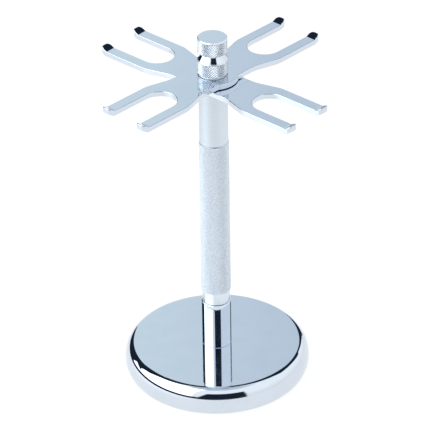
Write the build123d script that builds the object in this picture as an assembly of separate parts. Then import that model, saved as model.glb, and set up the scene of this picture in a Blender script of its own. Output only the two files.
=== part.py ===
"""Shaving stand with two swivelling double forks on a weighted round base.

Millimetres, +Z up. The origin is the centre of the base's underside, on the table.
Threads are plain cylinders at their major diameter, and every tapped hole is wider
than its screw by thread_gap.
"""
from build123d import *
import math
import os

# Clearances
fit_gap = 0.2           # radial gap between pieces that drop into each other
bolt_gap = 0.3          # radial gap between a screw and the plain hole it passes through
thread_gap = 0.05       # radial gap in a tapped hole
swivel_gap = 0.05       # radial running clearance on the pivot
play = 0.05             # axial gap between two pieces that turn on each other

# Threads, all M6
thread_radius = 3.0
thread_pitch = 1.0
thread_reach = 9.0      # length of thread inside each joined piece
drill_extra = 1.0       # a tapped hole goes this much deeper than its thread
thread_chamfer = 0.6

# Base: chrome shell, iron weight, foam pad
base_radius = 41.0
base_height = 13.3
rim_height = 6.0        # height of the widest point of the rim
rim_roll = 4.73         # width of the rounded rim outside the flat top
foot_inset = 3.2        # the rim's foot lies this far inside its widest point
foot_lift = 0.3         # the shell stands clear of the table by this much
shell_roof = 2.5
shell_side = 7.0        # from the widest point of the rim to the cavity wall
pad_thickness = 1.5

# Base screw and its washers
head_radius = 5.0
head_height = 4.0
head_room = 1.0         # radial room round the head and washers in the weight
hex_across = 5.0
hex_depth = 2.4
flat_washer_radius = 5.8
flat_washer_thickness = 1.0
lock_washer_radius = 5.0
lock_washer_thickness = 1.4
lock_washer_slit = 1.0

# Post, from the base up
lower_post_radius = 6.49
lower_post_length = 22.0
neck_radius = 6.15
neck_length = 5.95
neck_round = 0.8
grip_radius = 6.52
grip_length = 75.1
upper_post_radius = 6.27
upper_post_length = 27.9
edge_break = 0.25       # small chamfer on the turned edges

# Pivot stud and washers between the turning pieces
shoulder_radius = 4.0
washer_thickness = 0.3
washer_inset = 0.4      # a washer is smaller than the piece above or below it
middle_washer_radius = 9.0

# Double forks
plate_thickness = 2.4
hub_radius = 11.1
waist_width = 18.4
slot_width = 14.8
prong_width = 5.15
flare_start = 16.0      # along the arm, from the pivot
flare_end = 27.5
slot_bottom = 24.6
fold_reach = 50.0       # where the tips start to bend up
tip_reach = 53.8        # end of the tips
waist_blend = 14.0
shoulder_blend = 9.0
hub_blend = 2.0
tip_angle = 27.0
tip_bend_radius = 1.6
tip_corner = 2.0
fork_edge_round = 0.3
lower_fork_azimuth = -42.2
upper_fork_azimuth = 45.6

# Collar and knob
collar_radius = 6.5
collar_band = 6.45      # height of the knurled band
collar_foot_round = 0.4
bevel_height = 2.8
collar_wall = 0.8       # wall of the thin neck above the bevel
collar_neck = 0.55      # height of that neck
knob_radius = 6.35
knob_height = 6.9
knob_edge = 0.3
knob_washer_thickness = 0.5
knob_washer_proud = 0.2 # how far the washer stands out of the knob's underside
knob_hole_margin = 1.2  # metal left above the knob's tapped hole
knob_hole_gap = 0.6     # room above the stud's end in that hole

# Heights that follow from the sizes above
cavity_roof = base_height - shell_roof
cavity_radius = base_radius - shell_side
neck_foot = base_height + lower_post_length
grip_foot = neck_foot + neck_length
grip_top = grip_foot + grip_length
post_top = grip_top + upper_post_length
lower_fork_z = post_top + washer_thickness + play
middle_washer_z = lower_fork_z + plate_thickness
upper_fork_z = middle_washer_z + washer_thickness + play
top_washer_z = upper_fork_z + plate_thickness
collar_z = top_washer_z + washer_thickness + play
bevel_z = collar_z + collar_band
collar_neck_z = bevel_z + bevel_height
collar_top = collar_neck_z + collar_neck
knob_washer_z = collar_top + play
knob_z = knob_washer_z + knob_washer_proud
knob_top = knob_z + knob_height
pivot_bore = shoulder_radius + swivel_gap
pivot_top = knob_top - knob_hole_margin - knob_hole_gap
knob_recess_top = knob_washer_z + knob_washer_thickness + play
collar_neck_radius = pivot_bore + collar_wall


def rod(radius, bottom, top):
    """Upright cylinder on the Z axis between two heights."""
    align = (Align.CENTER, Align.CENTER, Align.MIN)
    return Pos(0, 0, bottom) * Cylinder(radius, top - bottom, align=align)


def ring(outer, inner, bottom, top):
    """Upright ring on the Z axis between two heights."""
    return rod(outer, bottom, top) - rod(inner, bottom - 1, top + 1)


def turned(profile):
    """Solid turned about Z from a closed outline of (radius, height) points."""
    return revolve(Plane.XZ * make_face(profile), Axis.Z)


def low_rim(piece):
    """Outer edge at the bottom of a turned piece."""
    return piece.edges().filter_by(GeomType.CIRCLE).group_by(Axis.Z)[0].sort_by(SortBy.RADIUS)[-1]


def high_rim(piece):
    """Outer edge at the top of a turned piece."""
    return piece.edges().filter_by(GeomType.CIRCLE).group_by(Axis.Z)[-1].sort_by(SortBy.RADIUS)[-1]


def broken_rod(radius, bottom, top, size):
    """Cylinder with a small chamfer at both ends."""
    piece = rod(radius, bottom, top)
    return chamfer([low_rim(piece), high_rim(piece)], size)


def tapped_hole(mouth, direction):
    """Blind tapped hole that runs up (+1) or down (-1) from its mouth."""
    end = mouth + direction * (thread_reach + drill_extra)
    return rod(thread_radius + thread_gap, min(mouth, end), max(mouth, end))


def joining_stud(seam):
    """Headless stud that joins two pieces of the post at a seam."""
    return broken_rod(thread_radius, seam - thread_reach, seam + thread_reach, thread_chamfer)


# Base

def screw_seat():
    """Underside of the flat washer, where the base screw pulls."""
    web = cavity_roof - pad_thickness - head_height - lock_washer_thickness - flat_washer_thickness
    return cavity_roof - web / 2


def base_shell():
    top_arc = EllipticalCenterArc(
        (base_radius - rim_roll, rim_height), rim_roll, base_height - rim_height, start_angle=0, arc_size=90)
    foot_arc = EllipticalCenterArc(
        (base_radius - foot_inset, rim_height), foot_inset, rim_height - foot_lift, start_angle=-90, arc_size=90)
    inside = Polyline(
        top_arc @ 1, (0, base_height), (0, cavity_roof), (cavity_radius, cavity_roof),
        (cavity_radius, foot_lift), foot_arc @ 0)
    shell = turned([foot_arc, top_arc, inside])
    return shell - rod(thread_radius + bolt_gap, cavity_roof - 1, base_height + 1)


def base_weight():
    disc = rod(cavity_radius - fit_gap, pad_thickness, cavity_roof)
    pocket = rod(flat_washer_radius + head_room, pad_thickness - 1, screw_seat())
    return disc - pocket - rod(thread_radius + bolt_gap, pad_thickness, cavity_roof + 1)


def base_pad():
    return rod(cavity_radius - fit_gap, 0, pad_thickness)


def base_flat_washer():
    seat = screw_seat()
    return ring(flat_washer_radius, thread_radius + bolt_gap, seat - flat_washer_thickness, seat)


def base_lock_washer():
    top = screw_seat() - flat_washer_thickness
    bottom = top - lock_washer_thickness
    washer = ring(lock_washer_radius, thread_radius + bolt_gap, bottom, top)
    slit = Pos(lock_washer_radius, 0, (bottom + top) / 2) * Rot(30, 0, 0) * Box(
        2 * lock_washer_radius, lock_washer_slit, 4 * lock_washer_thickness)
    return washer - slit


def base_screw():
    neck = screw_seat() - flat_washer_thickness - lock_washer_thickness
    shank = rod(thread_radius, neck, base_height + thread_reach)
    shank = chamfer(high_rim(shank), thread_chamfer)
    head = broken_rod(head_radius, neck - head_height, neck, edge_break)
    key = extrude(RegularPolygon(hex_across / 2, 6, major_radius=False), hex_depth)
    return shank + head - Pos(0, 0, neck - head_height) * key


# Post

def lower_post():
    post = broken_rod(lower_post_radius, base_height, neck_foot, edge_break)
    return post - tapped_hole(base_height, 1) - tapped_hole(neck_foot, -1)


def grip():
    neck = rod(neck_radius, neck_foot, grip_foot + 1)
    neck = fillet(low_rim(neck), neck_round)
    sleeve = broken_rod(grip_radius, grip_foot, grip_top, edge_break)
    return neck + sleeve - tapped_hole(neck_foot, 1) - tapped_hole(grip_top, -1)


def upper_post():
    post = broken_rod(upper_post_radius, grip_top, post_top, edge_break)
    return post - tapped_hole(grip_top, 1) - tapped_hole(post_top, -1)


def pivot_stud():
    """Shouldered stud: screwed into the post, plain where the forks turn, threaded for the knob."""
    foot = rod(thread_radius, post_top - thread_reach, post_top)
    foot = chamfer(low_rim(foot), thread_chamfer)
    shoulder = rod(shoulder_radius, post_top, collar_neck_z)
    tail = rod(thread_radius, collar_neck_z, pivot_top)
    tail = chamfer(high_rim(tail), thread_chamfer)
    return foot + shoulder + tail


def washer(radius, bottom):
    return ring(radius, pivot_bore, bottom, bottom + washer_thickness)


# Forks

def at_reach(outline, reach):
    """Corners of a flat outline at a distance along the arm, on both ends."""
    return outline.vertices().filter_by(lambda v: abs(abs(v.X) - reach) < 0.01)


def fork_outline():
    """Plan of a double fork along X: round hub, waisted arms and two prongs at each end."""
    waist = waist_width / 2
    half = slot_width / 2 + prong_width
    side = [(-tip_reach, half), (-flare_end, half), (-flare_start, waist)]
    side += [(-x, y) for x, y in reversed(side)]
    outline = make_face(Polyline(*side, *[(-x, -y) for x, y in side], close=True))
    outline = fillet(at_reach(outline, flare_start), waist_blend)
    outline = fillet(at_reach(outline, flare_end), shoulder_blend)
    outline += Circle(hub_radius)
    hub_corner = math.sqrt(hub_radius**2 - waist**2)
    outline = fillet(at_reach(outline, hub_corner), hub_blend)
    slot_centre = slot_bottom + slot_width / 2
    for end in (-1, 1):
        outline -= Pos(end * slot_centre, 0) * Circle(slot_width / 2)
        outline -= Pos(end * (slot_centre + tip_reach) / 2, 0) * Rectangle(tip_reach - slot_centre, slot_width)
    outline = fillet(at_reach(outline, tip_reach), tip_corner)
    return outline - Circle(pivot_bore)


def bent_sheet():
    """Plate seen from its side, flat with both ends bent up, and longer than the finished fork."""
    centre = Vector(fold_reach, plate_thickness + tip_bend_radius)
    top_arc = CenterArc(centre, tip_bend_radius, -90, tip_angle)
    low_arc = CenterArc(centre, tip_bend_radius + plate_thickness, -90, tip_angle)
    run = Vector(tip_reach - fold_reach, 0).rotate(Axis.Z, tip_angle) * 2
    top_run = Line(top_arc @ 1, (top_arc @ 1) + run)
    low_run = Line(low_arc @ 1, (low_arc @ 1) + run)
    middle = Polyline((fold_reach, plate_thickness), (0, plate_thickness), (0, 0), (fold_reach, 0))
    half = make_face([middle, low_arc, low_run, Line(low_run @ 1, top_run @ 1), top_run, top_arc])
    profile = half + mirror(half, Plane.YZ)
    width = slot_width + 2 * prong_width + 2
    return extrude(Plane.XZ * profile, width / 2, both=True)


def fork(azimuth, bottom):
    """One double fork with softened edges, turned to its place and set at its height."""
    plan = extrude(fork_outline(), plate_thickness + tip_reach - fold_reach)
    blank = (bent_sheet() & plan).clean()
    rims = blank.edges() - blank.edges().filter_by(Axis.Z)
    return Pos(0, 0, bottom) * Rot(0, 0, azimuth) * fillet(rims, fork_edge_round)


# Collar and knob

def collar():
    foot_arc = CenterArc(
        (collar_radius - collar_foot_round, collar_z + collar_foot_round), collar_foot_round, -90, 90)
    outside = Polyline(
        foot_arc @ 1, (collar_radius, bevel_z), (collar_neck_radius, collar_neck_z),
        (collar_neck_radius, collar_top), (pivot_bore, collar_top), (pivot_bore, collar_z), foot_arc @ 0)
    return turned([foot_arc, outside])


def knob_washer():
    inner = thread_radius + bolt_gap
    return ring(collar_neck_radius, inner, knob_washer_z, knob_washer_z + knob_washer_thickness)


def knob():
    body = broken_rod(knob_radius, knob_z, knob_top, knob_edge)
    recess = rod(collar_neck_radius + swivel_gap, knob_z - 1, knob_recess_top)
    return body - recess - rod(thread_radius + thread_gap, knob_z, knob_top - knob_hole_margin)


def pieces():
    """Every piece of the stand under the name of its node."""
    return {
        "base_shell": base_shell(),
        "base_weight": base_weight(),
        "base_pad": base_pad(),
        "base_flat_washer": base_flat_washer(),
        "base_lock_washer": base_lock_washer(),
        "base_screw": base_screw(),
        "lower_post": lower_post(),
        "lower_stud": joining_stud(neck_foot),
        "grip": grip(),
        "upper_stud": joining_stud(grip_top),
        "upper_post": upper_post(),
        "pivot_stud": pivot_stud(),
        "post_washer": washer(upper_post_radius - washer_inset, post_top),
        "lower_fork": fork(lower_fork_azimuth, lower_fork_z),
        "middle_washer": washer(middle_washer_radius, middle_washer_z),
        "upper_fork": fork(upper_fork_azimuth, upper_fork_z),
        "top_washer": washer(collar_radius - washer_inset, top_washer_z),
        "collar": collar(),
        "knob_washer": knob_washer(),
        "knob": knob(),
    }


def main():
    os.makedirs("parts", exist_ok=True)
    for name, shape in pieces().items():
        export_step(shape, f"parts/{name}.step")
    print(f"overall height {knob_top:.2f}, fork tops {middle_washer_z:.2f} and {top_washer_z:.2f}")
    print(f"the knob comes off after {(pivot_top - knob_recess_top) / thread_pitch:.1f} turns")


main()
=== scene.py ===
# %% [markdown]
# # A chrome shaving stand, finished around its CAD frame
# The stand holds brushes and razors by their necks. A weighted round base carries a post in three
# pieces: mirror chrome at the foot, a knurled grip in the middle and satin chrome at the top. Two
# flat double forks swivel on a pivot above it, under a knurled collar and a knurled knob.
# The frame already has every piece at its real size and place. Here each one gets its finish, and
# the knurls and threads, which the frame leaves plain, are cut for real.

# %% Load the frame
import math

import bmesh
import bpy
from mathutils import Matrix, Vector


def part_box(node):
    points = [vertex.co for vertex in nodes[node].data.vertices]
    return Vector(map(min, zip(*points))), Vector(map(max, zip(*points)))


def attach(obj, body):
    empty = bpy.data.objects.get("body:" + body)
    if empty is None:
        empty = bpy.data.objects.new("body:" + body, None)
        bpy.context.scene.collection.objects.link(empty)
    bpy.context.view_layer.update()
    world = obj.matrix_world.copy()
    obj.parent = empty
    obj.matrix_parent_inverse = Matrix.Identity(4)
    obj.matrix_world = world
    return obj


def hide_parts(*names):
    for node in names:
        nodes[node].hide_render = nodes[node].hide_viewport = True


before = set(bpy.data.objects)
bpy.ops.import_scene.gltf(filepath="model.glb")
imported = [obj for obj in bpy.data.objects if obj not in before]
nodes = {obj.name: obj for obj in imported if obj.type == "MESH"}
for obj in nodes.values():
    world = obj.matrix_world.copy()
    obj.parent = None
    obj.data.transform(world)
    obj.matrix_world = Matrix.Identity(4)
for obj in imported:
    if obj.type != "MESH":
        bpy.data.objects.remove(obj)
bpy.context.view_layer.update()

MM = 0.001
scene = bpy.context.scene

# %% [markdown]
# ## Maths on sockets
# A finish is a small sum of distances, angles and noise. Wiring each plus and times by hand hides
# the sum, so one class wraps a socket and lets Python's own operators add the Math nodes. The
# graph's `node` method makes every other kind of node from its type, its settings and its inputs.

# %% A socket as a number
class Value:
    """A socket that can be used in a sum. Each operator adds one Math node."""

    def __init__(self, graph, socket):
        self.graph = graph
        self.socket = socket

    def __add__(self, other):
        return self.graph.math("ADD", self, other)

    def __sub__(self, other):
        return self.graph.math("SUBTRACT", self, other)

    def __rsub__(self, other):
        return self.graph.math("SUBTRACT", other, self)

    def __mul__(self, other):
        return self.graph.math("MULTIPLY", self, other)

    def __truediv__(self, other):
        return self.graph.math("DIVIDE", self, other)

    __radd__ = __add__
    __rmul__ = __mul__


print("operators on a socket: + - * /")

# %% [markdown]
# The graph keeps one node tree, so that a node is made in one line. Masks are made with `step` and
# `between`, which rise and fall smoothly, because a hard edge on a mirror shows as a jagged line.

# %% The graph
class Graph:
    """A node tree and the few ways in which this script adds to it."""

    def __init__(self, tree):
        self.tree = tree

    def node(self, kind, settings=None, inputs=None, output=0):
        """Makes a node. output is one output's name or number, or a tuple of them."""
        made = self.tree.nodes.new(kind)
        for name, setting in (settings or {}).items():
            setattr(made, name, setting)
        pairs = enumerate(inputs) if isinstance(inputs, (list, tuple)) else (inputs or {}).items()
        for key, value in pairs:
            if isinstance(value, Value):
                self.tree.links.new(value.socket, made.inputs[key])
            else:
                made.inputs[key].default_value = value
        if isinstance(output, tuple):
            return tuple(Value(self, made.outputs[o]) for o in output)
        return Value(self, made.outputs[output]) if made.outputs else made

    def math(self, operation, *values):
        return self.node("ShaderNodeMath", {"operation": operation}, values)

    def step(self, value, low, high):
        """0 below low, 1 above high and a smooth rise between."""
        inputs = {"Value": value, "From Min": low, "From Max": high}
        return self.node("ShaderNodeMapRange", {"interpolation_type": "SMOOTHSTEP"}, inputs)

    def between(self, value, low, high, soft):
        """1 between low and high, with an edge that is soft wide on each side."""
        rise = self.step(value, low - soft, low + soft)
        fall = self.step(value, high - soft, high + soft)
        return rise * (1 - fall)

    def mix(self, factor, first, second):
        """Colour that goes from first to second as factor goes from 0 to 1."""
        return self.node("ShaderNodeMix", {"data_type": "RGBA"}, {0: factor, 6: first, 7: second}, 2)

    def split(self, vector):
        return self.node("ShaderNodeSeparateXYZ", None, {0: vector}, ("X", "Y", "Z"))

    def join(self, x, y, z):
        return self.node("ShaderNodeCombineXYZ", None, [x, y, z])

    def noise(self, vector, scale, detail=3.0):
        inputs = {"Vector": vector, "Scale": scale, "Detail": detail}
        return self.node("ShaderNodeTexNoise", None, inputs, "Fac")


def grey(level):
    """A neutral colour."""
    return (level, level, level, 1.0)


print("ways to add to a graph:", [name for name in vars(Graph) if name[0] != "_"])

# %% [markdown]
# ## The studio
# Mirror chrome has no colour to speak of: it shows the room. So the room is half of the finish.
# Chrome is usually shown in a white tent with cards in it: black ones draw a dark line along an
# edge, and a pale one fills the flat tops. The camera itself shows as one dark patch.
# The tent could be made of lit planes, but a world that changes with direction does the same and
# stays out of the way of a camera that goes round the object. A direction is told by its height
# above the horizon, by its bearing from straight behind the stand, and by its front angle from the
# camera's side, all in degrees, with the right positive. The slope is the height as it looks from
# the side, so a line of one slope runs level from left to right across the back.

# %% Directions in the world
world = bpy.data.worlds.new("studio")
world.use_nodes = True
world.node_tree.nodes.clear()
scene.world = world
sky = Graph(world.node_tree)
across, away, up = sky.split(sky.node("ShaderNodeTexCoord", None, None, "Generated"))
degrees = 180 / math.pi
height = sky.math("ARCSINE", up) * degrees
bearing = sky.math("ARCTAN2", across, away) * degrees
front = sky.math("ARCTAN2", across, 0 - away) * degrees
slope = sky.math("ARCTAN2", up, away) * degrees
print("nodes that measure a direction:", len(world.node_tree.nodes))

# %% [markdown]
# Each card is a mask over the directions and the colour that is seen there. The roof is duller than
# the walls. The softbox fills the left. The bar hangs across the back above the pale card, narrows
# to a point on the left and stops short on the right: it draws the dark line round the base's flat
# top and blackens the bent tips. Two dark wings stand beside the pale card. The lens patch is the
# camera on its stand, wider at the bottom left. The horizon line is the shadow under the softbox.

# %% The tent and its cards
BACK_CARD_LEFT = (0.80, 0.905, 0.955, 1.0)
BACK_CARD_RIGHT = (0.685, 0.775, 0.86, 1.0)
DARK_CARD = (0.012, 0.02, 0.036, 1.0)
TENT_WALL = (1.16, 1.18, 1.2, 1.0)
TENT_FOOT = (0.98, 0.99, 1.0, 1.0)
TENT_ROOF = (0.66, 0.72, 0.8, 1.0)
SOFTBOX = (2.7, 2.8, 2.85, 1.0)
FAR_TABLE = (0.42, 0.45, 0.5, 1.0)
CARD_LEFT = -19
CARD_RIGHT = 13
HORIZON_TOP = 9

roof = sky.step(height, 64, 76)
softbox = sky.between(front, -124, -31, 2) * sky.between(height, HORIZON_TOP, 74, 1)
bar_top = 69 - sky.math("MAXIMUM", -0.7 - across, 0.0) * 120
bar = sky.between(slope, 38, bar_top, 1.5) * (1 - sky.step(across, 0.55, 0.61))
wing_height = sky.between(height, -22, 46, 2)
left_wing = sky.between(bearing, -56, CARD_LEFT, 1) * wing_height
right_wing = sky.between(bearing, CARD_RIGHT, 29, 1) * wing_height
lens_patch = sky.between(front, height * 0.32 - 26, 34, 2) * sky.between(height, -6, 37, 2)
horizon = sky.between(front, -126, -20, 3) * sky.between(height, -4, HORIZON_TOP, 1)
behind = sky.between(bearing, CARD_LEFT, CARD_RIGHT, 1)
far_table = behind * sky.step(0 - height, 1, 3)
back_card = behind * sky.between(height, -2, 42, 1)
back_colour = sky.mix(sky.step(bearing, -2, 2), BACK_CARD_LEFT, BACK_CARD_RIGHT)

cards = [
    (roof, TENT_ROOF),
    (softbox, SOFTBOX),
    (bar, DARK_CARD),
    (left_wing, DARK_CARD),
    (right_wing, DARK_CARD),
    (lens_patch, DARK_CARD),
    (horizon, DARK_CARD),
    (far_table, FAR_TABLE),
    (back_card, back_colour),
]
tent = sky.mix(sky.step(height, -4, 32), TENT_FOOT, TENT_WALL)
for mask, colour in cards:
    tent = sky.mix(mask, tent, colour)
seen = sky.node("ShaderNodeLightPath", None, None, "Is Camera Ray")
light = sky.node("ShaderNodeBackground", None, {"Color": sky.mix(seen, tent, grey(1.0))})
sky.node("ShaderNodeOutputWorld", None, {"Surface": light})
print("cards in the tent:", len(cards))

# %% [markdown]
# The table is a plain pale disc. It glows a little, as a table lit through its cloth does, so that
# it stays white behind the chrome and lights the underside of the rims. On the left, where the
# softbox stands, a brighter pool of light is painted into the light that the cloth gives off, and
# that painted pool is what draws a pale stripe down the left of the upright pieces.

# %% The table
TABLE_RADIUS = 0.8
POOL_X = -0.19
POOL_Y = -0.07
POOL_RADIUS = 0.19
PAINTED_POOL_LIGHT = (1.38, 1.40, 1.42, 1.0)
table_mesh = bpy.data.meshes.new("table")
disc = bmesh.new()
bmesh.ops.create_circle(disc, cap_ends=True, segments=96, radius=TABLE_RADIUS)
bmesh.ops.translate(disc, vec=(0, 0, -0.0001), verts=disc.verts)
disc.to_mesh(table_mesh)
disc.free()
table = bpy.data.objects.new("table", table_mesh)
scene.collection.objects.link(table)
cloth = bpy.data.materials.new("white_table")
cloth.use_nodes = True
surface = cloth.node_tree.nodes["Principled BSDF"]
surface.inputs["Base Color"].default_value = grey(0.12)
surface.inputs["Roughness"].default_value = 0.9
surface.inputs["Specular IOR Level"].default_value = 0.0
table_graph = Graph(cloth.node_tree)
table_x, table_y, _ = table_graph.split(table_graph.node("ShaderNodeTexCoord", None, None, "Object"))
pool_x = table_x - POOL_X
pool_y = table_y - POOL_Y
pool_distance = table_graph.math("SQRT", pool_x * pool_x + pool_y * pool_y)
# The cloth's emission is painted brighter in a round patch on the left: a painted pool of light.
glow_with_painted_pool = table_graph.mix(table_graph.step(pool_distance, 0.02, POOL_RADIUS), PAINTED_POOL_LIGHT, grey(1.0))
cloth.node_tree.links.new(glow_with_painted_pool.socket, surface.inputs["Emission Color"])
surface.inputs["Emission Strength"].default_value = 0.91
table_mesh.materials.append(cloth)
print("table radius in mm:", round(TABLE_RADIUS / MM), "pool of light in mm:", round(POOL_RADIUS / MM))

# %% [markdown]
# ## The camera
# A long lens a good metre away keeps the two forks nearly parallel. It looks down by about 32
# degrees, and the tripod head leans by just under one degree.

# %% Camera
CAMERA_PLACE = (0.0, -1.182336, 0.812742)
PITCH_DOWN = 31.828
LEAN = -0.890
lens = bpy.data.cameras.new("camera")
lens.sensor_width = 36.0
lens.lens = 267.9
camera = bpy.data.objects.new("camera", lens)
tilt = Matrix.Rotation(math.radians(90 - PITCH_DOWN), 4, "X")
roll = Matrix.Rotation(math.radians(LEAN), 4, "Z")
camera.matrix_world = Matrix.Translation(CAMERA_PLACE) @ tilt @ roll
scene.collection.objects.link(camera)
scene.camera = camera
scene.view_settings.view_transform = "Standard"
print("lens in mm:", lens.lens)

# %% [markdown]
# ## The finishes
# All the metal here is plated or turned, so the finishes share a start: a surface shader, and the
# place on the object in millimetres. Every finish reads Object coordinates, which stay put on a
# piece when it turns.

# %% Start of a finish
def finish(name, metallic):
    """A new material. Gives its graph, its shader node and the place in mm as a vector."""
    material = bpy.data.materials.new(name + "_finish")
    material.use_nodes = True
    graph = Graph(material.node_tree)
    shader = material.node_tree.nodes["Principled BSDF"]
    shader.inputs["Metallic"].default_value = metallic
    place = graph.node("ShaderNodeTexCoord", None, None, "Object")
    scale = {0: place, "Scale": 1 / MM}
    return material, graph, shader, graph.node("ShaderNodeVectorMath", {"operation": "SCALE"}, scale)


def wire(graph, shader, colour, roughness, relief, relief_depth):
    """Links the colour, the roughness and a relief, whose depth is in mm, to the shader."""
    inputs = {"Height": relief, "Strength": 1.0, "Distance": relief_depth * MM}
    bump = graph.node("ShaderNodeBump", None, inputs)
    for socket, value in (("Base Color", colour), ("Roughness", roughness), ("Normal", bump)):
        graph.tree.links.new(value.socket, shader.inputs[socket])


def stretched(graph, place, x, y, z):
    """The place with each axis scaled, so that noise on it is drawn out along the small ones."""
    scale = {0: place, 1: (x, y, z)}
    return graph.node("ShaderNodeVectorMath", {"operation": "MULTIPLY"}, scale)


print("finishes are measured in mm, which are", MM, "of Blender's units")

# %% [markdown]
# ### Mirror chrome
# The base and the foot of the post are polished before they are plated. What is left is a trace of
# the buffing wheel, which runs in rings round the axis, a few hairlines, and a breath of haze where
# hands have been. A perfect mirror would look like a hole in the object, so the haze matters: it
# changes the roughness by a hundredth or two and the tint by a percent.

# %% Mirror chrome
CHROME = (0.655, 0.715, 0.79, 1.0)
CHROME_HAZE = (0.635, 0.70, 0.775, 1.0)


def mirror_chrome(name, orange_peel, wall_roughness):
    """Polished chrome. Upright walls, where the sheet was cut, can be rougher than the faces."""
    material, graph, shader, place = finish(name, 1.0)
    x, y, z = graph.split(place)
    radius = graph.math("SQRT", x * x + y * y)
    haze = graph.step(graph.noise(place, 0.09, 4.0), 0.42, 0.68)
    rings = graph.noise(graph.join(radius * 14, z * 2, 0.0), 1.0, 2.0)
    hairline = graph.step(graph.noise(stretched(graph, place, 0.25, 9.0, 3.0), 1.0, 2.0), 0.72, 0.78)
    facing = graph.split(graph.node("ShaderNodeTexCoord", None, None, "Normal"))[2]
    wall = 1 - graph.step(graph.math("ABSOLUTE", facing), 0.1, 0.6)
    roughness = 0.03 + haze * 0.03 + rings * 0.02 + hairline * 0.05 + wall * wall_roughness
    colour = graph.mix(haze, CHROME, CHROME_HAZE)
    relief = graph.noise(place, 1.1, 2.0) * orange_peel + rings * 0.02
    wire(graph, shader, colour, roughness, relief, 0.002)
    return material


polished_chrome = mirror_chrome("polished_chrome", 0.3, 0.0)
fork_chrome = mirror_chrome("fork_chrome", 0.8, 0.02)
print("mirror finishes:", polished_chrome.name, fork_chrome.name)

# %% [markdown]
# ### Satin chrome
# The upper post was turned, then brushed on the lathe and plated thinly, so the plating keeps the
# brush lines. They run round the post. Noise that is drawn out round the post and squeezed along
# it makes such lines with no seam, because it is solid noise and not a wrapped pattern.

# %% Satin chrome
SATIN = (0.68, 0.75, 0.81, 1.0)
SATIN_LINE = (0.63, 0.70, 0.76, 1.0)


def satin_chrome():
    material, graph, shader, place = finish("satin_chrome", 1.0)
    brush = graph.noise(stretched(graph, place, 0.12, 0.12, 9.0), 1.0, 4.0)
    bloom = graph.noise(place, 0.22, 2.0)
    colour = graph.mix(graph.step(brush, 0.3, 0.75), SATIN, SATIN_LINE)
    roughness = 0.36 + brush * 0.08 + bloom * 0.05
    wire(graph, shader, colour, roughness, brush, 0.0012)
    return material


satin = satin_chrome()
print("satin finish:", satin.name, "with", len(satin.node_tree.nodes), "nodes")

# %% [markdown]
# ### Knurled metal
# A knurl is pressed, not cut: two toothed wheels push diamonds up out of the bar. Where the bar is
# plain it stays smooth. In the knurl the tips are handled until they are pale, and the grooves are
# painted a darker colour, as painted shade. A fine noise darkens some diamonds at random, as painted
# glints that some diamonds catch and others miss. One rule makes all the knurled finishes: how far
# a point stands out, from its distance to the axis, tells plain metal, groove and tip apart.

# %% Knurled finishes
KNURL_CREST = (0.88, 0.93, 0.98, 1.0)


def knurled(name, crest_radius, depth, metal, groove, plain_roughness, knurl_roughness):
    """Metal that is smooth where it is plain, and duller in the knurl, with painted shade in its grooves."""
    material, graph, shader, place = finish(name, 1.0)
    x, y, z = graph.split(place)
    radius = graph.math("SQRT", x * x + y * y)
    knurl = graph.step(radius, crest_radius - depth * 1.3, crest_radius - depth * 1.1)
    proud = graph.step(radius, crest_radius - depth, crest_radius - depth * 0.3)
    grime = graph.noise(place, 0.6, 4.0)
    # A noise that darkens some diamonds: painted glints, which some diamonds catch and others miss.
    painted_glints = graph.step(graph.noise(place, 1.7, 2.0), 0.38, 0.62)
    # The colour runs from the pale tips to the groove colour, which is painted shade, and the noise adds
    # painted glints.
    pressed = graph.mix(0.45 - proud * 0.25 + painted_glints * 0.35, KNURL_CREST, groove)
    colour = graph.mix(knurl, metal, pressed)
    dull = knurl * (knurl_roughness - plain_roughness + painted_glints * 0.05)
    wire(graph, shader, colour, plain_roughness + dull + grime * 0.05, grime, 0.001)
    return material


print("colour of a worn crest:", KNURL_CREST[:3])

# %% [markdown]
# ### Plain metals and soft pieces
# The screws and washers are zinc-plated steel: pale, a little blue and yellow in patches. The
# weight is cast iron with a sandy skin. The pad is closed-cell foam with small open pores where it
# was sliced, and the thin washers between the turning pieces are nylon, slightly cloudy.

# %% Zinc and iron
def zinc_steel():
    material, graph, shader, place = finish("zinc_steel", 1.0)
    patch = graph.noise(place, 0.35, 3.0)
    colour = graph.mix(graph.step(patch, 0.4, 0.65), (0.56, 0.60, 0.66, 1.0), (0.66, 0.64, 0.56, 1.0))
    grain = graph.noise(stretched(graph, place, 0.5, 0.5, 6.0), 1.0, 3.0)
    wire(graph, shader, colour, 0.26 + grain * 0.16, grain, 0.004)
    return material


def cast_iron():
    material, graph, shader, place = finish("iron", 0.85)
    sand = graph.noise(place, 2.2, 5.0)
    rust = graph.step(graph.noise(place, 0.12, 4.0), 0.55, 0.75)
    colour = graph.mix(rust * 0.5, (0.12, 0.115, 0.11, 1.0), (0.17, 0.085, 0.045, 1.0))
    wire(graph, shader, colour, 0.55 + sand * 0.3, sand, 0.15)
    return material


steel = zinc_steel()
iron = cast_iron()
print("hard finishes:", steel.name, iron.name)


# %% [markdown]
# Foam is made of cells, so its pattern is a cell pattern: each pore is the middle of a cell. Nylon
# lets a little light in, which shows as soft clouds with no edge anywhere.

# %% Foam and nylon
def closed_cell_foam():
    material, graph, shader, place = finish("foam", 0.0)
    cells = graph.node("ShaderNodeTexVoronoi", None, {"Vector": place, "Scale": 2.4}, "Distance")
    pore = 1 - graph.step(cells, 0.05, 0.35)
    # Each pore is painted darker than the foam round it: painted shade inside the hole.
    colour = graph.mix(pore, (0.045, 0.047, 0.05, 1.0), (0.012, 0.012, 0.014, 1.0))
    wire(graph, shader, colour, 0.8 + graph.noise(place, 0.8) * 0.15, 1 - pore, 0.12)
    return material


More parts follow.
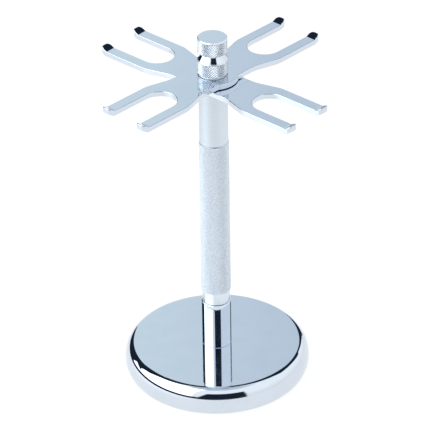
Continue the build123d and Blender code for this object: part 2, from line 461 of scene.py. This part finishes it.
def cloudy_nylon():
    material, graph, shader, place = finish("nylon", 0.0)
    cloud = graph.noise(place, 0.5, 4.0)
    colour = graph.mix(graph.step(cloud, 0.35, 0.7), (0.80, 0.81, 0.81, 1.0), (0.70, 0.71, 0.71, 1.0))
    wire(graph, shader, colour, 0.38 + cloud * 0.2, graph.noise(place, 3.0), 0.01)
    return material


foam = closed_cell_foam()
nylon = cloudy_nylon()
print("soft finishes:", foam.name, nylon.name)

# %% [markdown]
# ## Pieces that keep their frame shape
# Thirteen pieces are plain enough for the frame's own surface to be the finished one: the base, the
# plain parts of the post, the two forks and the washers. They only get their finish here.

# %% Kept pieces
carried_over = {
    "base_shell": polished_chrome,
    "lower_post": polished_chrome,
    "upper_post": satin,
    "lower_fork": fork_chrome,
    "upper_fork": fork_chrome,
    "base_weight": iron,
    "base_pad": foam,
    "base_flat_washer": steel,
    "base_lock_washer": steel,
    "post_washer": nylon,
    "middle_washer": nylon,
    "top_washer": nylon,
    "knob_washer": nylon,
}
for name, material in carried_over.items():
    nodes[name].material_slots[0].material = material
print("pieces kept from the frame:", len(carried_over))

# %% [markdown]
# ## Turned bodies
# A turned piece is a profile spun round the axis. Spin in Blender leaves a seam and can turn the
# shape inside out, so the rings are laid down in order here and joined face by face. A radius of
# nothing closes the surface with one pole. A ring can also be a hexagon, for a key socket.

# %% Profile to surface
def hexagon(half_across, angle):
    """Distance from the centre of a hexagon to its side at an angle."""
    sixth = math.pi / 3
    return half_across / math.cos((angle + sixth / 2) % sixth - sixth / 2)


def ring_points(radius, level, around, hexagonal=False):
    """Points of one ring in metres, or one pole if the radius is nothing."""
    if radius == 0:
        return [(0.0, 0.0, level * MM)]
    angles = [2 * math.pi * k / around for k in range(around)]
    reach = [hexagon(radius, a) if hexagonal else radius for a in angles]
    return [(r * MM * math.cos(a), r * MM * math.sin(a), level * MM) for r, a in zip(reach, angles)]


def turned(profile, around):
    """Open surface through a list of (radius, height) in mm, with True added for a hexagon."""
    build = bmesh.new()
    rings = []
    for radius, level, *hexagonal in profile:
        points = ring_points(radius, level, around, *hexagonal)
        rings.append([build.verts.new(point) for point in points])
    for low, high in zip(rings, rings[1:]):
        for k in range(around):
            corners = [low[k % len(low)], low[(k + 1) % len(low)]]
            corners += [high[(k + 1) % len(high)], high[k % len(high)]]
            build.faces.new(list(dict.fromkeys(corners)))
    mesh = bpy.data.meshes.new("turned")
    build.to_mesh(mesh)
    build.free()
    return mesh


def arc(centre_radius, centre_level, size, start, end, steps=6):
    """Points of a rounded edge, from one angle to another in degrees, level being 0."""
    spread = [math.radians(start + (end - start) * k / steps) for k in range(steps + 1)]
    return [(centre_radius + size * math.cos(a), centre_level + size * math.sin(a)) for a in spread]


print("points on a rounded edge:", len(arc(5.0, 1.0, 0.4, -90, 0)))

# %% [markdown]
# ## Welding a piece together
# A finished piece is one closed skin. Its parts meet on rings that share their points, so merging
# those points closes it, and only then are the normals worked out. Edges sharper than a chosen
# angle stay crisp, which keeps knurl tips and chamfers from being smeared by smooth shading.

# %% Weld and hand over
WELD = 1e-6
CREASE = math.radians(28)


def piece(node, meshes, material, body):
    """Joins meshes to one closed piece that stands for a frame node and rides on its body."""
    build = bmesh.new()
    for mesh in meshes:
        build.from_mesh(mesh)
    bmesh.ops.remove_doubles(build, verts=build.verts, dist=WELD)
    bmesh.ops.dissolve_degenerate(build, edges=build.edges, dist=WELD / 10)
    bmesh.ops.recalc_face_normals(build, faces=build.faces)
    open_edges = sum(not edge.is_manifold for edge in build.edges)
    whole = bpy.data.meshes.new(node + "_finished")
    build.to_mesh(whole)
    build.free()
    whole.shade_smooth()
    whole.set_sharp_from_angle(angle=CREASE)
    whole.materials.clear()
    whole.materials.append(material)
    made = bpy.data.objects.new(node + "_finished", whole)
    scene.collection.objects.link(made)
    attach(made, body)
    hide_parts(node)
    whole.calc_loop_triangles()
    print(made.name, "triangles", len(whole.loop_triangles), "open edges", open_edges)
    return made


# %% [markdown]
# ## Geometry Nodes, set up by script
# A tree is a recipe with named sizes. It runs once, on an empty mesh, and the result is copied out
# as a plain mesh, so nothing live is left on the piece.

# %% Make and run a tree
def recipe(name, sockets):
    """A Geometry Nodes tree with named inputs. Gives its graph and its inputs by name."""
    tree = bpy.data.node_groups.new(name, "GeometryNodeTree")
    tree.interface.new_socket("Geometry", in_out="OUTPUT", socket_type="NodeSocketGeometry")
    for label, kind in sockets.items():
        tree.interface.new_socket(label, in_out="INPUT", socket_type="NodeSocket" + kind)
    graph = Graph(tree)
    given = graph.node("NodeGroupInput", None, None, tuple(sockets))
    return graph, dict(zip(sockets, given))


def close_recipe(graph, geometry, material):
    """Ends a tree as every tree here ends: instances made real, and the finish set."""
    real = graph.node("GeometryNodeRealizeInstances", None, {0: geometry})
    painted = graph.node("GeometryNodeSetMaterial", None, {"Geometry": real, "Material": material})
    graph.node("NodeGroupOutput", None, {0: painted})
    return graph.tree


def run(tree, values):
    """The plain mesh that a tree gives for these values."""
    holder = bpy.data.objects.new("holder", bpy.data.meshes.new("holder"))
    scene.collection.objects.link(holder)
    modifier = holder.modifiers.new("recipe", "NODES")
    modifier.node_group = tree
    for item in tree.interface.items_tree:
        if item.in_out == "INPUT":
            modifier[item.identifier] = values[item.name]
    holder.update_tag()
    evaluated = holder.evaluated_get(bpy.context.evaluated_depsgraph_get())
    mesh = bpy.data.meshes.new_from_object(evaluated)
    holder.modifiers.remove(modifier)
    bpy.data.objects.remove(holder)
    return mesh


print("trees so far:", len(bpy.data.node_groups))

# %% [markdown]
# ## The knurl
# Diamonds with their corners touching tile a sheet with no gaps. So the knurl starts flat: one
# blunt four-sided pyramid, copied on to two offset grids of points. The sheet is then rolled up:
# across becomes the angle, along becomes the height and out becomes the radius. Tiles that stick
# out at either end are pressed flat against it, which gives the cut ends that a real knurl has.

# %% The knurl's tree
def knurl_recipe():
    sockets = {"Around": "Int", "Rows": "Int", "Radius": "Float", "Depth": "Float", "Bottom": "Float"}
    sockets.update({"Height": "Float", "Tip": "Float", "Material": "Material"})
    graph, size = recipe("knurl", sockets)
    pyramid = {"Vertices": 4, "Radius Top": size["Tip"] * 0.5, "Radius Bottom": 0.5, "Depth": 1.0}
    cone, base = graph.node("GeometryNodeMeshCone", None, pyramid, ("Mesh", "Bottom"))
    away_with = {"Geometry": cone, "Selection": base}
    tile = graph.node("GeometryNodeDeleteGeometry", {"domain": "FACE"}, away_with)
    joined = graph.tree.nodes.new("GeometryNodeJoinGeometry")
    for extra, shift in ((1, 0.0), (0, 0.5)):
        rows = size["Rows"] + extra
        width = size["Around"] - 1
        length = rows - 1
        count = {"Vertices X": size["Around"], "Vertices Y": rows, "Size X": width, "Size Y": length}
        grid = graph.node("GeometryNodeMeshGrid", None, count)
        corner = graph.join(width * 0.5 + shift, length * 0.5 + shift, 0.0)
        placed = graph.node("GeometryNodeTransform", None, {"Geometry": grid, "Translation": corner})
        graph.tree.links.new(placed.socket, joined.inputs[0])
    points = {"Points": Value(graph, joined.outputs[0]), "Instance": tile}
    sheet = graph.node("GeometryNodeInstanceOnPoints", None, points)
    sheet = graph.node("GeometryNodeRealizeInstances", None, {0: sheet})
    across, along, out = graph.split(graph.node("GeometryNodeInputPosition"))
    angle = across * (2 * math.pi) / size["Around"]
    share = graph.math("MINIMUM", graph.math("MAXIMUM", along, 0.0), size["Rows"]) / size["Rows"]
    radius = size["Radius"] - size["Depth"] * (1 - out)
    level = size["Bottom"] + share * size["Height"]
    rolled = graph.join(radius * graph.math("COSINE", angle), radius * graph.math("SINE", angle), level)
    sheet = graph.node("GeometryNodeSetPosition", None, {"Geometry": sheet, "Position": rolled})
    sheet = graph.node("GeometryNodeMergeByDistance", None, {"Geometry": sheet, "Distance": WELD})
    return close_recipe(graph, sheet, size["Material"])


knurl_tree = knurl_recipe()


def knurl_band(around, radius, depth, bottom, top, tip, material):
    """A band of diamonds as tall as they are wide, in mm."""
    rows = max(1, round((top - bottom) / (2 * math.pi * radius / around)))
    sizes = {"Around": around, "Rows": rows, "Radius": radius * MM, "Depth": depth * MM}
    sizes.update({"Bottom": bottom * MM, "Height": (top - bottom) * MM, "Tip": tip, "Material": material})
    print("knurl of", around, "by", rows, "diamonds")
    return run(knurl_tree, sizes)


# %% [markdown]
# ## Sizes from the frame
# The frame is the master, so heights and radii are read from its nodes and only the sizes that the
# frame can't tell, such as the depth of a groove, are written here.

# %% Heights and radii
def levels(node):
    """Bottom and top of a frame node, in mm."""
    low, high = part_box(node)
    return low.z / MM, high.z / MM


def widest(node):
    """Largest radius of a round frame node, in mm."""
    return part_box(node)[1].x / MM


for name in ("upper_post", "knob"):
    print(name, "ends at", round(levels(name)[1], 2), "mm")

# %% [markdown]
# ## The grip
# The middle piece of the post is the largest knurl: a fine linen-like diamond over its whole
# sleeve, above a short plain neck. The knurl is a band, and two turned ends close it: below, the
# neck with its rounded foot and its tapped hole, and above, the shoulder and the other hole.

# %% Grip
NECK_RADIUS = 6.15
NECK_LENGTH = 5.95
NECK_ROUND = 0.8
TAPPED_RADIUS = 3.05
TAPPED_DEPTH = 10.0
GRIP_DIAMONDS = 52
GRIP_DEPTH = 0.13
GRIP_TIP = 0.35
GRIP_METAL = (0.78, 0.84, 0.90, 1.0)
# The grip's groove colour is painted shade, darker than the metal.
GRIP_GROOVE_SHADE = (0.56, 0.62, 0.69, 1.0)
END_BREAK = 0.25
END_STEP = 0.1

grip_bottom, grip_top = levels("grip")
grip_radius = widest("grip")
sleeve_bottom = grip_bottom + NECK_LENGTH
groove_radius = grip_radius - GRIP_DEPTH
step_radius = groove_radius - END_STEP
grip_finish = knurled(
    "knurled_satin", grip_radius, GRIP_DEPTH, GRIP_METAL, GRIP_GROOVE_SHADE,
    plain_roughness=0.30, knurl_roughness=0.58)

low_hole = grip_bottom + TAPPED_DEPTH
neck_end = [(0, low_hole), (TAPPED_RADIUS, low_hole), (TAPPED_RADIUS, grip_bottom)]
neck_end += arc(NECK_RADIUS - NECK_ROUND, grip_bottom + NECK_ROUND, NECK_ROUND, -90, 0)
neck_end += [(NECK_RADIUS, sleeve_bottom), (step_radius, sleeve_bottom)]
neck_end += [(groove_radius, sleeve_bottom + END_BREAK)]

high_hole = grip_top - TAPPED_DEPTH
shoulder_end = [(groove_radius, grip_top - END_BREAK), (step_radius, grip_top)]
shoulder_end += [(TAPPED_RADIUS, grip_top), (TAPPED_RADIUS, high_hole), (0, high_hole)]

knurl_bottom = sleeve_bottom + END_BREAK
knurl_top = grip_top - END_BREAK
sleeve = knurl_band(
    GRIP_DIAMONDS, grip_radius, GRIP_DEPTH, knurl_bottom, knurl_top, GRIP_TIP, grip_finish)
grip_ends = [turned(end, 2 * GRIP_DIAMONDS) for end in (neck_end, shoulder_end)]
piece("grip", [sleeve, *grip_ends], grip_finish, "root")

# %% [markdown]
# ## The collar
# The collar holds the forks down and is turned by hand, so its diamonds are coarser than the grip's
# and bright enough to sparkle. It has a plain rounded foot, and a polished bevel that leads up to a
# thin neck. Its profile is one loop from the top of the knurl, over the neck, down the bore and
# round the foot, and the band of diamonds closes it.

# %% Collar
HAND_DIAMONDS = 36
HAND_DEPTH = 0.22
HAND_TIP = 0.3
HAND_METAL = (0.69, 0.745, 0.81, 1.0)
# The groove colour of the collar and the knob is painted shade, darker than the metal.
HAND_GROOVE_SHADE = (0.50, 0.56, 0.63, 1.0)
BEAD_STEP = 0.1
PIVOT_BORE = 4.05
COLLAR_BAND = 6.45
COLLAR_FOOT_ROUND = 0.4
BEVEL_HEIGHT = 2.8
PLAIN_FOOT = 0.15
PLAIN_HEAD = 0.3

collar_bottom, collar_top = levels("collar")
collar_radius = widest("collar")
collar_neck = widest("knob_washer")
bevel_bottom = collar_bottom + COLLAR_BAND
collar_finish = knurled(
    "knurled_collar", collar_radius, HAND_DEPTH, HAND_METAL, HAND_GROOVE_SHADE,
    plain_roughness=0.05, knurl_roughness=0.33)
band_bottom = collar_bottom + COLLAR_FOOT_ROUND + PLAIN_FOOT
band_top = bevel_bottom - PLAIN_HEAD
collar_body = [(collar_radius - HAND_DEPTH, band_top), (collar_radius, band_top + BEAD_STEP)]
collar_body += [(collar_radius, bevel_bottom), (collar_neck, bevel_bottom + BEVEL_HEIGHT)]
collar_body += [(collar_neck, collar_top)]
collar_body += [(PIVOT_BORE, collar_top), (PIVOT_BORE, collar_bottom)]
collar_body += arc(
    collar_radius - COLLAR_FOOT_ROUND, collar_bottom + COLLAR_FOOT_ROUND, COLLAR_FOOT_ROUND, -90, 0)
collar_body += [(collar_radius, band_bottom - BEAD_STEP), (collar_radius - HAND_DEPTH, band_bottom)]
band = knurl_band(HAND_DIAMONDS, collar_radius, HAND_DEPTH, band_bottom, band_top, HAND_TIP, collar_finish)
piece("collar", [band, turned(collar_body, 2 * HAND_DIAMONDS)], collar_finish, "collar")

# %% [markdown]
# ## The knob
# The knob carries the same diamonds on a slightly smaller radius. A plain bead stays above them
# under the flat top and another below, and the underside has a recess for the washer and a tapped
# hole for the pivot. Two turned ends close the band, as on the grip.

# %% Knob
KNOB_EDGE = 0.3
TOP_BEAD = 0.75
LOW_BEAD = 0.5
RECESS_ROOM = 0.05
RECESS_HEIGHT = 0.35
TAP_ROOF = 1.2

knob_bottom, knob_top = levels("knob")
knob_radius = widest("knob")
recess = collar_neck + RECESS_ROOM
band_bottom = knob_bottom + LOW_BEAD
band_top = knob_top - TOP_BEAD
knob_underside = [(0, knob_top - TAP_ROOF), (TAPPED_RADIUS, knob_top - TAP_ROOF)]
knob_underside += [(TAPPED_RADIUS, knob_bottom + RECESS_HEIGHT), (recess, knob_bottom + RECESS_HEIGHT)]
knob_underside += [(recess, knob_bottom), (knob_radius - KNOB_EDGE, knob_bottom)]
knob_underside += [(knob_radius, knob_bottom + KNOB_EDGE), (knob_radius, band_bottom - BEAD_STEP)]
knob_underside += [(knob_radius - HAND_DEPTH, band_bottom)]
knob_head = [(knob_radius - HAND_DEPTH, band_top), (knob_radius, band_top + BEAD_STEP)]
knob_head += [(knob_radius, knob_top - KNOB_EDGE), (knob_radius - KNOB_EDGE, knob_top), (0, knob_top)]
knob_finish = knurled(
    "knurled_knob", knob_radius, HAND_DEPTH, HAND_METAL, HAND_GROOVE_SHADE,
    plain_roughness=0.05, knurl_roughness=0.33)
band = knurl_band(HAND_DIAMONDS, knob_radius, HAND_DEPTH, band_bottom, band_top, HAND_TIP, knob_finish)
knob_ends = [turned(end, 2 * HAND_DIAMONDS) for end in (knob_underside, knob_head)]
piece("knob", [band, *knob_ends], knob_finish, "knob")

# %% [markdown]
# ## Screw threads
# Every thread in the stand is the same size, so one tree makes them all. Four rows of points climb
# the rod for each turn: two along the root and two along the crest. Each row is raised by one pitch
# as it goes round, so it meets the next turn's row and the helix closes. Near the ends the depth
# fades to nothing, as a thread runs out in a chamfer.

# %% The thread's tree
THREAD_RADIUS = 3.0
THREAD_PITCH = 1.0
THREAD_DEPTH = 0.6
THREAD_RUNOUT = 0.6
THREAD_AROUND = 48
ROWS_PER_TURN = 4


def thread_recipe():
    sockets = {"Around": "Int", "Rows": "Int", "Radius": "Float", "Depth": "Float", "Pitch": "Float"}
    sockets.update({"Bottom": "Float", "Top": "Float", "Runout": "Float", "Material": "Material"})
    graph, size = recipe("thread", sockets)
    count = {"Size X": 1.0, "Size Y": size["Rows"], "Vertices X": size["Around"] + 1}
    count["Vertices Y"] = size["Rows"] + 1
    grid = graph.node("GeometryNodeMeshGrid", None, count)
    across, along, _ = graph.split(graph.node("GeometryNodeInputPosition"))
    turn = across + 0.5
    row = graph.math("ROUND", along + size["Rows"] * 0.5)
    climb = size["Bottom"] + (row / ROWS_PER_TURN + turn - 1) * size["Pitch"]
    level = graph.math("MINIMUM", graph.math("MAXIMUM", climb, size["Bottom"]), size["Top"])
    crest = graph.math("GREATER_THAN", graph.math("MODULO", row, ROWS_PER_TURN), 1.5)
    nearest_end = graph.math("MINIMUM", climb - size["Bottom"], size["Top"] - climb)
    fade = graph.math("MINIMUM", graph.math("MAXIMUM", nearest_end / size["Runout"], 0.0), 1.0)
    radius = size["Radius"] - size["Depth"] * (1 - crest * fade)
    angle = turn * (2 * math.pi)
    spot = graph.join(radius * graph.math("COSINE", angle), radius * graph.math("SINE", angle), level)
    rod = graph.node("GeometryNodeSetPosition", None, {"Geometry": grid, "Position": spot})
    rod = graph.node("GeometryNodeMergeByDistance", None, {"Geometry": rod, "Distance": WELD})
    return close_recipe(graph, rod, size["Material"])


thread_tree = thread_recipe()


def thread(bottom, top):
    """A threaded stretch of rod between two heights in mm, open at both ends."""
    turns = math.ceil((top - bottom) / THREAD_PITCH) + 2
    sizes = {"Around": THREAD_AROUND, "Rows": turns * ROWS_PER_TURN, "Radius": THREAD_RADIUS * MM}
    sizes.update({"Depth": THREAD_DEPTH * MM, "Pitch": THREAD_PITCH * MM, "Bottom": bottom * MM})
    sizes.update({"Top": top * MM, "Runout": THREAD_RUNOUT * MM, "Material": steel})
    return run(thread_tree, sizes)


print("thread:", 2 * THREAD_RADIUS, "mm across, pitch", THREAD_PITCH, "mm, depth", THREAD_DEPTH, "mm")

# %% [markdown]
# ## The studs
# Two headless studs join the three pieces of the post, one at each seam. Each is a single thread
# with a flat cap on both ends.

# %% Studs
ROOT_RADIUS = THREAD_RADIUS - THREAD_DEPTH


def end_cap(level):
    """Flat end of a threaded rod."""
    return turned([(0, level), (ROOT_RADIUS, level)], THREAD_AROUND)


for stud in ("lower_stud", "upper_stud"):
    stud_bottom, stud_top = levels(stud)
    stud_parts = [thread(stud_bottom, stud_top), end_cap(stud_bottom), end_cap(stud_top)]
    piece(stud, stud_parts, steel, "root")

# %% [markdown]
# ## The pivot
# The pivot is a shouldered stud: threaded into the post, plain where the forks and the collar turn
# on it, and threaded again for the knob, which shows when the knob is wound up.

# %% Pivot
SHOULDER_RADIUS = 4.0
COLLAR_NECK_HEIGHT = 0.55
stud_bottom, stud_top = levels("pivot_stud")
post_top = levels("upper_post")[1]
shoulder_top = collar_top - COLLAR_NECK_HEIGHT
shoulder = [(ROOT_RADIUS, post_top), (SHOULDER_RADIUS, post_top)]
shoulder += [(SHOULDER_RADIUS, shoulder_top), (ROOT_RADIUS, shoulder_top)]
pivot_parts = [thread(stud_bottom, post_top), turned(shoulder, THREAD_AROUND), thread(shoulder_top, stud_top)]
pivot_parts += [end_cap(stud_bottom), end_cap(stud_top)]
piece("pivot_stud", pivot_parts, steel, "root")

# %% [markdown]
# ## The base screw
# The base screw comes up through the weight and pulls the base against the post. Its round head has
# a hexagonal key socket, so its profile has two corners that are hexagons instead of circles.

# %% Base screw
HEAD_RADIUS = 5.0
HEAD_HEIGHT = 4.0
KEY_HALF_ACROSS = 2.5
KEY_DEPTH = 2.4
screw_bottom, screw_top = levels("base_screw")
head_top = screw_bottom + HEAD_HEIGHT
head = [(0, screw_bottom + KEY_DEPTH), (KEY_HALF_ACROSS, screw_bottom + KEY_DEPTH, True)]
head += [(KEY_HALF_ACROSS, screw_bottom, True), (HEAD_RADIUS - END_BREAK, screw_bottom)]
head += [(HEAD_RADIUS, screw_bottom + END_BREAK), (HEAD_RADIUS, head_top - END_BREAK)]
head += [(HEAD_RADIUS - END_BREAK, head_top), (ROOT_RADIUS, head_top)]
screw_parts = [turned(head, THREAD_AROUND), thread(head_top, screw_top), end_cap(screw_top)]
piece("base_screw", screw_parts, steel, "root")

# %% [markdown]
